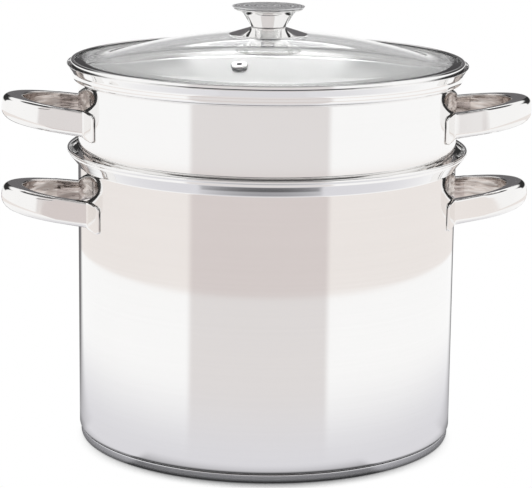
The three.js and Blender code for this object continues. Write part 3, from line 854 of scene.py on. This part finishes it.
def knob_body():
    """Hollow cone that opens from the knob's waist and flares out under its top."""
    top = KNOB_BODY_Z + KNOB_BODY_HEIGHT
    skin = bent_line([
        (SCREW_HOLE_R, KNOB_BODY_Z),
        (WAIST_R, KNOB_BODY_Z, WAIST_BEND_R),
        (KNOB_CONE_R, top - KNOB_FLARE_HEIGHT, KNOB_FLARE_R),
        (KNOB_TOP_R, top),
    ])
    return turned(sheet(skin, KNOB_SHEET), KNOB_SEGMENTS, closed=True)


def knob_cap():
    """Disc on top of the knob."""
    top = KNOB_CAP_Z + KNOB_CAP_THICKNESS
    outline = bent_line([
        (0, KNOB_CAP_Z),
        (KNOB_CAP_R, KNOB_CAP_Z, EASED_EDGE_R),
        (KNOB_CAP_R, top, EASED_EDGE_R),
        (0, top),
    ])
    return turned(outline, KNOB_SEGMENTS)


def knob_boss():
    """Threaded boss in the knob, blind at its upper end."""
    top = BOSS_Z + BOSS_HEIGHT
    drill = BOSS_Z + SCREW_REACH + GAP
    outline = bent_line([
        (0, drill),
        (SCREW_HOLE_R, drill),
        (SCREW_HOLE_R, BOSS_Z),
        (BOSS_R, BOSS_Z, EASED_EDGE_R),
        (BOSS_R, top, EASED_EDGE_R),
        (0, top),
    ])
    return turned(outline, KNOB_SEGMENTS)


def screw_ring(outer_r, z, height):
    """A flat ring round the knob's screw with eased outer edges."""
    outline = bent_line([
        (SCREW_HOLE_R, z),
        (outer_r, z, EASED_EDGE_R),
        (outer_r, z + height, EASED_EDGE_R),
        (SCREW_HOLE_R, z + height),
    ])
    return turned(outline, KNOB_SEGMENTS, closed=True)


def knob_screw():
    """Screw with a domed, cross-slotted head under the glass."""
    bottom = WASHER_Z - SCREW_HEAD_HEIGHT
    top = BOSS_Z + SCREW_REACH
    outline = bent_line([
        (0, bottom),
        (SCREW_HEAD_R, bottom, SCREW_HEAD_HEIGHT / 2),
        (SCREW_HEAD_R, WASHER_Z),
        (SCREW_R, WASHER_Z),
        (SCREW_R, top, EASED_EDGE_R),
        (0, top),
    ])
    bm = turned(outline, KNOB_SEGMENTS)
    for size in ((SLOT_LENGTH, SLOT_WIDTH), (SLOT_WIDTH, SLOT_LENGTH)):
        slot = bmesh.new()
        bmesh.ops.create_cube(slot, size=1)
        slot.transform(Matrix.Translation((0, 0, bottom)) @ Matrix.Diagonal((*size, 2 * SLOT_DEPTH, 1)))
        bm = carved(bm, slot)
    return bm


class Graph:
    """Short calls for building a node tree."""

    def __init__(self, tree):
        self.tree = tree

    def add(self, kind, inputs, output=0, **settings):
        """Adds a node, links or sets its inputs by name or number, and returns one of its outputs."""
        node = self.tree.nodes.new(kind)
        for name, value in settings.items():
            setattr(node, name, value)
        for key, value in inputs.items():
            self.put(node.inputs[key], value)
        return node.outputs[output]

    def put(self, socket, value):
        """Links an output to a socket, or sets the socket's value."""
        if isinstance(value, bpy.types.NodeSocket):
            self.tree.links.new(value, socket)
        else:
            socket.default_value = value

    def math(self, operation, first, second=0.0, third=0.0):
        """One step of arithmetic."""
        return self.add("ShaderNodeMath", {0: first, 1: second, 2: third}, operation=operation)

    def product(self, first, *others):
        """Product of numbers."""
        for other in others:
            first = self.math("MULTIPLY", first, other)
        return first

    def ramp(self, value, low, high, to_low=0.0, to_high=1.0):
        """Smooth step from one value to another while the input goes from low to high."""
        inputs = {"Value": value, "From Min": low, "From Max": high, "To Min": to_low, "To Max": to_high}
        return self.add("ShaderNodeMapRange", inputs, interpolation_type="SMOOTHSTEP")

    def between(self, value, low, high, soft):
        """1 between two values and 0 outside them, with soft edges."""
        rise = self.ramp(value, low - soft, low + soft)
        fall = self.ramp(value, high - soft, high + soft, 1.0, 0.0)
        return self.math("MULTIPLY", rise, fall)

    def mix(self, share, first, second):
        """A number between two numbers."""
        return self.add("ShaderNodeMix", {0: share, 2: first, 3: second})

    def blend(self, share, first, second):
        """A colour between two colours."""
        return self.add("ShaderNodeMix", {0: share, 6: first, 7: second}, 2, data_type="RGBA")

    def parts(self, vector):
        """The three parts of a vector."""
        node = self.tree.nodes.new("ShaderNodeSeparateXYZ")
        self.tree.links.new(vector, node.inputs[0])
        return node.outputs

    def noise(self, vector, scale, detail):
        """A cloudy texture over a vector."""
        return self.add("ShaderNodeTexNoise", {"Vector": vector, "Scale": scale, "Detail": detail})


def turn_marks(graph, scale):
    """Fine marks that run round the vertical axis, as polishing leaves them."""
    place = graph.add("ShaderNodeTexCoord", {}, "Object")
    x, y, z = graph.parts(place)
    flat = graph.add("ShaderNodeCombineXYZ", {0: x, 1: y})
    distance = graph.add("ShaderNodeVectorMath", {0: flat}, "Value", operation="LENGTH")
    rings = graph.add("ShaderNodeCombineXYZ", {0: distance, 1: z})
    return graph.noise(rings, scale, GRAIN_DETAIL)


def clouds(graph, scale, detail=GRAIN_DETAIL):
    """Soft spots without a direction."""
    place = graph.add("ShaderNodeTexCoord", {}, "Object")
    return graph.noise(place, scale, detail)


def material(name, **values):
    """A material with constant values on its shader's sockets, and a graph to refine it."""
    made = bpy.data.materials.new(name)
    made.use_nodes = True
    shader = made.node_tree.nodes["Principled BSDF"]
    for socket, value in values.items():
        shader.inputs[socket.replace("_", " ")].default_value = value
    return made, shader.inputs, Graph(made.node_tree)


def dress(graph, inputs, finish, tone, grain, height=None):
    """Lets colour follow one texture, roughness a second one and relief a third."""
    graph.put(inputs["Base Color"], graph.blend(tone, finish.dark, finish.light))
    graph.put(inputs["Roughness"], graph.ramp(grain, *TEXTURE_SPAN, finish.smooth, finish.rough))
    if height is not None:
        bump = graph.add("ShaderNodeBump", {"Height": height, "Strength": 1.0, "Distance": finish.relief})
        graph.put(inputs["Normal"], bump)


def polished_steel():
    """Mirror-polished sheet with faint polishing marks round the axis."""
    made, inputs, graph = material("polished_steel", Metallic=1.0)
    marks = turn_marks(graph, POLISH_MARKS)
    mixed = graph.mix(MARKS_SHARE, clouds(graph, POLISH_HAZE), marks)
    dress(graph, inputs, POLISHED, mixed, mixed, marks)
    return made


def handle_steel():
    """Polished cast steel: smooth, with a trace of casting waviness."""
    made, inputs, graph = material("handle_steel", Metallic=1.0)
    waves = clouds(graph, CASTING_WAVES, WAVE_DETAIL)
    dress(graph, inputs, CAST_POLISHED, waves, clouds(graph, CASTING_GRAIN), waves)
    return made


def cast_steel_painted_shade():
    """Inner side of the handles: less polished and wavy, and painted darker and a little brown as shade."""
    made, inputs, graph = material("cast_steel_painted_shade", Metallic=1.0)
    place = graph.add("ShaderNodeTexCoord", {}, "Object")
    along = graph.add("ShaderNodeVectorMath", {0: place, 1: STREAK_SQUEEZE}, operation="MULTIPLY")
    streaks = graph.noise(along, INNER_STREAKS, STREAK_DETAIL)
    tone = graph.ramp(streaks, *STREAK_FADE)
    dress(graph, inputs, CAST_DULL_PAINTED_SHADE, tone, clouds(graph, INNER_GRAIN), streaks)
    return made


def inside_steel():
    """Satin-ground steel of the insides, with marks round the axis, in a tone lighter than the polished
    steel as painted light.
    """
    made, inputs, graph = material("inside_steel", Metallic=1.0)
    marks = turn_marks(graph, GROUND_MARKS)
    dress(graph, inputs, GROUND_PAINTED_LIGHT, marks, marks, marks)
    return made


def satin_steel():
    """Steel with visible turning marks."""
    made, inputs, graph = material("satin_steel", Metallic=1.0)
    marks = turn_marks(graph, TURNED_MARKS)
    dress(graph, inputs, TURNED, marks, marks, marks)
    return made


def core_aluminium():
    """Bare pressed aluminium."""
    made, inputs, graph = material("core_aluminium", Metallic=1.0)
    grain = clouds(graph, PRESSED_GRAIN)
    dress(graph, inputs, PRESSED, grain, grain)
    return made


def silicone():
    """Matt dark moulded silicone, also put as painted shade in the vent eyelet's bore and under its flange.
    """
    made, inputs, graph = material("silicone", Specular_IOR_Level=MOULDED_SHINE)
    grain = clouds(graph, MOULDED_GRAIN)
    dress(graph, inputs, MOULDED_AND_PAINTED_SHADE, grain, grain, grain)
    return made


def lid_glass_material():
    """Clear tempered glass with a faint grey-blue tint and a trace of waviness."""
    made, inputs, graph = material("lid_glass", Transmission_Weight=1.0, IOR=GLASS_IOR)
    waves = clouds(graph, GLASS_WAVES, WAVE_DETAIL)
    dress(graph, inputs, CLEAR, waves, waves)
    return made


def piece(node, bm, body, slot, inner_finish=None):
    """Puts a finished piece in the place of a node of the solids; its marked faces have an inner finish."""
    bmesh.ops.remove_doubles(bm, verts=bm.verts[:], dist=WELD)
    bmesh.ops.recalc_face_normals(bm, faces=bm.faces[:])
    bm.transform(Matrix.Scale(MM, 4))
    mesh = bpy.data.meshes.new(node + "_fine")
    bm.to_mesh(mesh)
    bm.free()
    mesh.shade_smooth()
    mesh.set_sharp_from_angle(angle=SHARP_ANGLE)
    mesh.materials.append(MATERIALS[slot])
    if inner_finish:
        mesh.materials.append(MATERIALS[inner_finish])
    made = bpy.data.objects.new(node + "_fine", mesh)
    bpy.context.scene.collection.objects.link(made)
    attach(made, body)
    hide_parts(node)


def mark_inside(bm, top_z):
    """Marks the inner faces of a shell, up to a height, for the finish of its inside and its painted light.
    """
    bmesh.ops.recalc_face_normals(bm, faces=bm.faces[:])
    middle = Vector((0, 0, top_z / 2))
    for face in bm.faces:
        centre = face.calc_center_median()
        is_inner = face.normal.dot(centre - middle) < 0
        face.material_index = int(is_inner and centre.z < top_z)
    return bm


def handle_pair(body, wall_r, z, turn):
    """A left and a right handle on a wall, with their tops at the wall on z."""
    for side, half_turn in (("right", 0), ("left", pi)):
        bm = handle(wall_r)
        bm.transform(Matrix.Translation((0, 0, z)) @ Matrix.Rotation(turn + half_turn, 4, "Z"))
        piece(f"{body}_handle_{side}", bm, body, "handle_steel", "cast_steel_painted_shade")


def make_pot():
    """The pieces of the pot; its hidden core stays the plain disc of the solids."""
    piece("pot_shell", mark_inside(pot_shell(), THROAT_Z), "pot", "polished_steel", "inside_steel")
    piece("base_cap", base_cap(), "pot", "satin_steel")
    handle_pair("pot", POT_R, POT_RIM_Z - POT_HANDLE_DROP, 0)
    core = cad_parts["base_core"]
    core.data.materials.clear()
    core.data.materials.append(MATERIALS["core_aluminium"])


def make_insert():
    """The pieces of the strainer insert."""
    shell = mark_inside(insert_shell(), INSERT_RIM_Z - LEDGE_DEPTH)
    piece("insert_shell", shell, "insert", "polished_steel", "inside_steel")
    handle_pair("insert", INSERT_R, INSERT_RIM_Z - INSERT_HANDLE_DROP, INSERT_TURN)


def make_lid():
    """The pieces of the lid and its knob."""
    piece("lid_glass", lid_glass(), "lid", "lid_glass")
    piece("lid_band", lid_band(), "lid", "polished_steel")
    piece("band_seal", band_seal(), "lid", "silicone")
    # the eyelet's second finish, the dark silicone, is painted shade in its bore and under its flange
    piece("vent_eyelet", vent_eyelet(), "lid", "polished_steel", "silicone")
    piece("knob_gasket_upper", screw_ring(GASKET_R, GASKET_Z, GASKET_THICKNESS), "lid", "silicone")
    piece("knob_gasket_lower", screw_ring(GASKET_R, GASKET_LOWER_Z, GASKET_THICKNESS), "lid", "silicone")
    piece("screw_washer", screw_ring(WASHER_R, WASHER_Z, WASHER_THICKNESS), "lid", "satin_steel")
    piece("knob_screw", knob_screw(), "lid", "satin_steel")
    piece("knob_skirt", knob_skirt(), "lid", "polished_steel")
    piece("knob_body", knob_body(), "lid", "polished_steel")
    piece("knob_boss", knob_boss(), "lid", "satin_steel")
    piece("knob_cap", knob_cap(), "lid", "satin_steel")


def facing(graph, vector):
    """A vector's parts to the right of the camera's line, towards the camera, and up."""
    inputs = {"Vector": vector, "Angle": CAMERA_AZIMUTH}
    turned_vector = graph.add("ShaderNodeVectorRotate", inputs, rotation_type="Z_AXIS")
    x, y, z = graph.parts(turned_vector)
    return x, graph.math("MULTIPLY", y, -1.0), z


def mirrored_share(graph):
    """1 for what polished metal reflects and 0 for what is seen directly or through the glass."""
    path = graph.tree.nodes.new("ShaderNodeLightPath").outputs
    return graph.math("SUBTRACT", path["Is Glossy Ray"], path["Is Transmission Ray"])


def front_share(graph, right, towards):
    """1 in the grey area in front, where the camera stands, and 0 outside it."""
    bearing = graph.math("ARCTAN2", right, towards)
    return graph.between(bearing, *FRONT_BEARINGS, FRONT_SOFT)


def mirrored_room(graph, right, towards, up):
    """What polished metal finds around it: a grey front, a dark back with a lamp and a dark ceiling."""
    aside = graph.math("ABSOLUTE", right)
    front = graph.blend(graph.between(up, *FRONT_BAND, FRONT_BAND_SOFT), FRONT_GREY, FRONT_BAND_GREY)
    colour = graph.blend(front_share(graph, right, towards), WHITE, front)
    behind = graph.ramp(towards, *BEHIND_START, 1.0, 0.0)
    near_middle = graph.ramp(aside, *BEHIND_HALF_WIDTH, 1.0, 0.0)
    dark = graph.product(graph.between(up, *BEHIND_HEIGHTS, BEHIND_SOFT), behind, near_middle)
    shade = graph.blend(graph.ramp(aside, *BEHIND_MIDDLE), BEHIND_MIDDLE_GREY, BEHIND_GREY)
    colour = graph.blend(dark, colour, shade)
    lamp_width = graph.between(right, *LAMP_WIDTHS, LAMP_SIDE_SOFT)
    lamp = graph.product(graph.between(up, *LAMP_HEIGHTS, LAMP_SOFT), behind, lamp_width)
    colour = graph.blend(lamp, colour, LAMP_LIGHT)
    return graph.blend(graph.ramp(up, *CEILING_START), colour, CEILING_GREY)


def studio_world():
    """White room with a light overhead that falls in through the glass."""
    world = bpy.data.worlds.new("studio")
    world.use_nodes = True
    bpy.context.scene.world = world
    graph = Graph(world.node_tree)
    direction = graph.add("ShaderNodeTexCoord", {}, "Generated")
    right, towards, up = facing(graph, direction)
    through_glass = graph.add("ShaderNodeLightPath", {}, "Is Transmission Ray")
    overhead = graph.product(through_glass, graph.ramp(up, *SKYLIGHT_START))
    open_room = graph.blend(overhead, WHITE, SKYLIGHT)
    mirrored = mirrored_room(graph, right, towards, up)
    background = world.node_tree.nodes["Background"]
    graph.put(background.inputs["Color"], graph.blend(mirrored_share(graph), open_room, mirrored))


def strips_share(graph, right, towards):
    """1 in two dark strips behind the pot, which darken the edges of its wall, and 0 outside them."""
    away = graph.math("MULTIPLY", towards, -1.0)
    left = graph.math("MULTIPLY", right, -1.0)
    left_edge = graph.ramp(graph.math("MULTIPLY_ADD", away, STRIP_LEFT_SPREAD, right), *STRIP_OUTER_EDGE)
    right_edge = graph.ramp(graph.math("MULTIPLY_ADD", away, STRIP_RIGHT_SPREAD, left), *STRIP_OUTER_EDGE)
    inner_edge = graph.ramp(graph.math("ABSOLUTE", right), *STRIP_INNER_EDGE)
    length = graph.between(away, *STRIP_LENGTHS, STRIP_END_SOFT)
    return graph.product(left_edge, right_edge, inner_edge, length)


def mirrored_table(graph):
    """What polished metal finds on the table: a shadow, a grey area in front and dark strips behind."""
    place = graph.add("ShaderNodeNewGeometry", {}, "Position")
    distance = graph.add("ShaderNodeVectorMath", {0: place}, "Value", operation="LENGTH")
    right, towards, _ = facing(graph, place)
    front = front_share(graph, right, graph.math("SUBTRACT", towards, TABLE_FRONT_START))
    plain = graph.blend(front, WHITE, FRONT_GREY)
    warm = graph.blend(front, WARM_WHITE, WARM_GREY)
    colour = graph.blend(graph.ramp(distance, *WARM_START), plain, warm)
    dim = graph.math("POWER", graph.ramp(distance, *DIM_FADE, 1.0, 0.0), DIM_POWER)
    colour = graph.blend(dim, colour, DIM_GREY)
    colour = graph.blend(strips_share(graph, right, towards), colour, STRIP_GREY)
    beside = graph.ramp(distance, *BASE_SHADOW_BESIDE, BASE_SHADOW_LIGHT, 1.0)
    before = graph.ramp(distance, *BASE_SHADOW_BEFORE)
    light = graph.mix(front_share(graph, right, towards), beside, before)
    return graph.blend(light, BLACK, colour)


def table_material():
    """White table with a soft shadow where the pot stands, which falls to the front."""
    made = bpy.data.materials.new("floor")
    made.use_nodes = True
    tree = made.node_tree
    tree.nodes.remove(tree.nodes["Principled BSDF"])
    graph = Graph(tree)
    to_light = graph.add("ShaderNodeCombineXYZ", {0: sin(CAMERA_AZIMUTH), 1: cos(CAMERA_AZIMUTH), 2: 1.0})
    inputs = {"Distance": SHADOW_REACH, "Normal": to_light}
    open_share = graph.add("ShaderNodeAmbientOcclusion", inputs, "AO", samples=SHADOW_SAMPLES)
    shadow = graph.ramp(open_share, *SHADOW_FADE)
    plain = graph.add("ShaderNodeEmission", {"Color": graph.blend(shadow, SHADOW_GREY, WHITE)})
    mirrored = graph.add("ShaderNodeEmission", {"Color": mirrored_table(graph)})
    both = graph.add("ShaderNodeMixShader", {0: mirrored_share(graph), 1: plain, 2: mirrored})
    graph.put(tree.nodes["Material Output"].inputs["Surface"], both)
    return made


def make_table():
    """The round white table that the pot stands on."""
    bm = bmesh.new()
    bm.faces.new([bm.verts.new((x, y, 0)) for x, y in circle(TABLE_R, SHELL_SEGMENTS)])
    mesh = bpy.data.meshes.new("floor")
    bm.to_mesh(mesh)
    bm.free()
    mesh.materials.append(table_material())
    table = bpy.data.objects.new("floor", mesh)
    bpy.context.scene.collection.objects.link(table)


def make_camera():
    """Camera at the photo's viewing angle."""
    data = bpy.data.cameras.new("camera")
    data.lens = CAMERA_LENS
    data.sensor_width = SENSOR_WIDTH
    camera = bpy.data.objects.new("camera", data)
    bpy.context.scene.collection.objects.link(camera)
    aside = Vector((sin(CAMERA_AZIMUTH), cos(CAMERA_AZIMUTH), 0))
    camera.location = -CAMERA_DISTANCE * aside + Vector((0, 0, CAMERA_HEIGHT))
    ahead = cos(CAMERA_PITCH) * aside - Vector((0, 0, sin(CAMERA_PITCH)))
    aim = ahead.to_track_quat("-Z", "Y").to_matrix() @ Matrix.Rotation(CAMERA_ROLL, 3, "Z")
    camera.rotation_euler = aim.to_euler()
    bpy.context.scene.camera = camera


MATERIALS = {
    "polished_steel": polished_steel(),
    "handle_steel": handle_steel(),
    "cast_steel_painted_shade": cast_steel_painted_shade(),
    "inside_steel": inside_steel(),
    "satin_steel": satin_steel(),
    "core_aluminium": core_aluminium(),
    "silicone": silicone(),
    "lid_glass": lid_glass_material(),
}

make_camera()
make_pot()
make_insert()
make_lid()
make_table()
studio_world()
bpy.context.scene.view_settings.view_transform = "Standard"
bpy.context.scene.cycles.max_bounces = LIGHT_BOUNCES
bpy.context.scene.cycles.glossy_bounces = MIRROR_BOUNCES
bpy.context.scene.cycles.transmission_bounces = GLASS_BOUNCES
